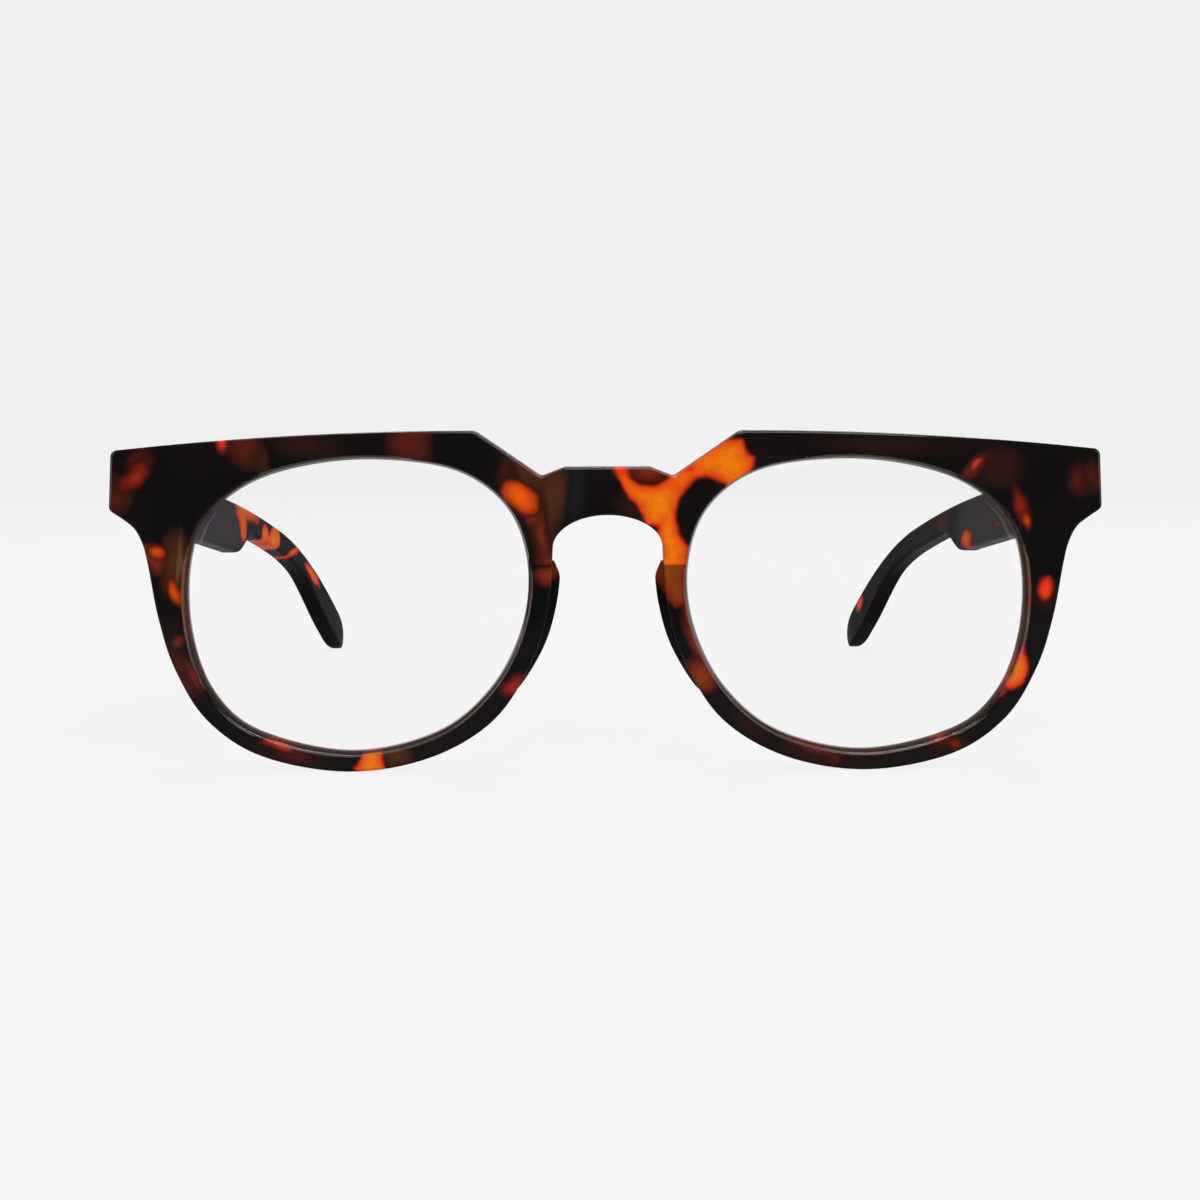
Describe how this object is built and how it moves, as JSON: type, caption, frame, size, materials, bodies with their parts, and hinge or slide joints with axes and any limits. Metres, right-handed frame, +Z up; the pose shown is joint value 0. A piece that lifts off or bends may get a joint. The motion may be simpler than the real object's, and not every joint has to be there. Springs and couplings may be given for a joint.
{
  "type": "reading glasses",
  "caption": "Full-rim tortoiseshell acetate reading glasses with a keyhole bridge, clear lenses, nose pads and folding temples on screwed hinges.",
  "frame": {"origin": "on the plane of symmetry, under the middle of the glasses' depth, on the plane that the rims' bottoms and the temple tips stand on", "axes": "+X towards the wearer's left, +Y from the front back along the open temples, +Z up"},
  "size_m": [0.1414, 0.141, 0.0481],
  "materials": {
    "tortoiseshell_acetate": "polished tortoiseshell acetate, near-black brown with amber patches",
    "pad_acetate": "polished brown acetate",
    "clear_lens": "clear polished optical plastic",
    "hinge_steel": "satin metal"
  },
  "bodies": {
    "front": {"front_frame": "tortoiseshell_acetate", "lens_left": "clear_lens", "lens_right": "clear_lens", "nose_pad_left": "pad_acetate", "nose_pad_right": "pad_acetate", "front_hinge_left": "hinge_steel", "front_hinge_right": "hinge_steel", "hinge_screw_left": "hinge_steel", "hinge_screw_right": "hinge_steel"},
    "left_temple": {"temple_left": "tortoiseshell_acetate", "core_wire_left": "hinge_steel", "temple_hinge_left": "hinge_steel"},
    "right_temple": {"temple_right": "tortoiseshell_acetate", "core_wire_right": "hinge_steel", "temple_hinge_right": "hinge_steel"}
  },
  "joints": [
    {"name": "left_temple_fold", "type": "hinge", "parent": "front", "child": "left_temple", "pos_m": [0.0651, -0.05734, 0.0408], "axis": [0, 0, 1], "range_deg": [0, 87]},
    {"name": "right_temple_fold", "type": "hinge", "parent": "front", "child": "right_temple", "pos_m": [-0.0651, -0.05734, 0.0408], "axis": [0, 0, -1], "range_deg": [0, 82]}
  ]
}
